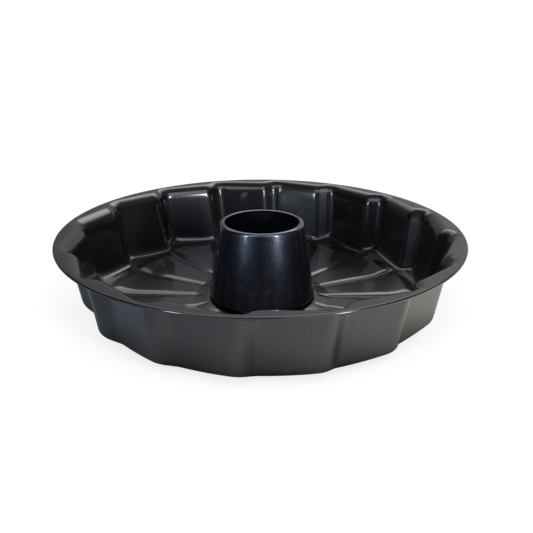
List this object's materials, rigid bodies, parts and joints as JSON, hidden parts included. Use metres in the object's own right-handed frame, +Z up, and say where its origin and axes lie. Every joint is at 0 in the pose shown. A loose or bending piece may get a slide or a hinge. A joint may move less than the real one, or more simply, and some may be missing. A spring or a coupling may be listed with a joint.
{
  "type": "fluted tube pan",
  "caption": "Dark coated steel ring cake pan with a saw-tooth fluted wall, a petal floor, a curled rim and a tapered centre tube.",
  "frame": {"origin": "centre of the underside, on the plane that the pan stands on", "axes": "+Z up along the axis of the tube, +X through one inner corner of the flutes at the flange, +Y completes the frame"},
  "size_m": [0.28, 0.28, 0.0584],
  "materials": {
    "body_coating": "semi-gloss charcoal non-stick coat with a fine metallic fleck on thin steel sheet",
    "tube_coating": "satin blue-black non-stick coat with a fine sparkle on thin steel sheet"
  },
  "bodies": {
    "root": {"pan_body": "body_coating", "centre_tube": "tube_coating"}
  },
  "joints": []
}
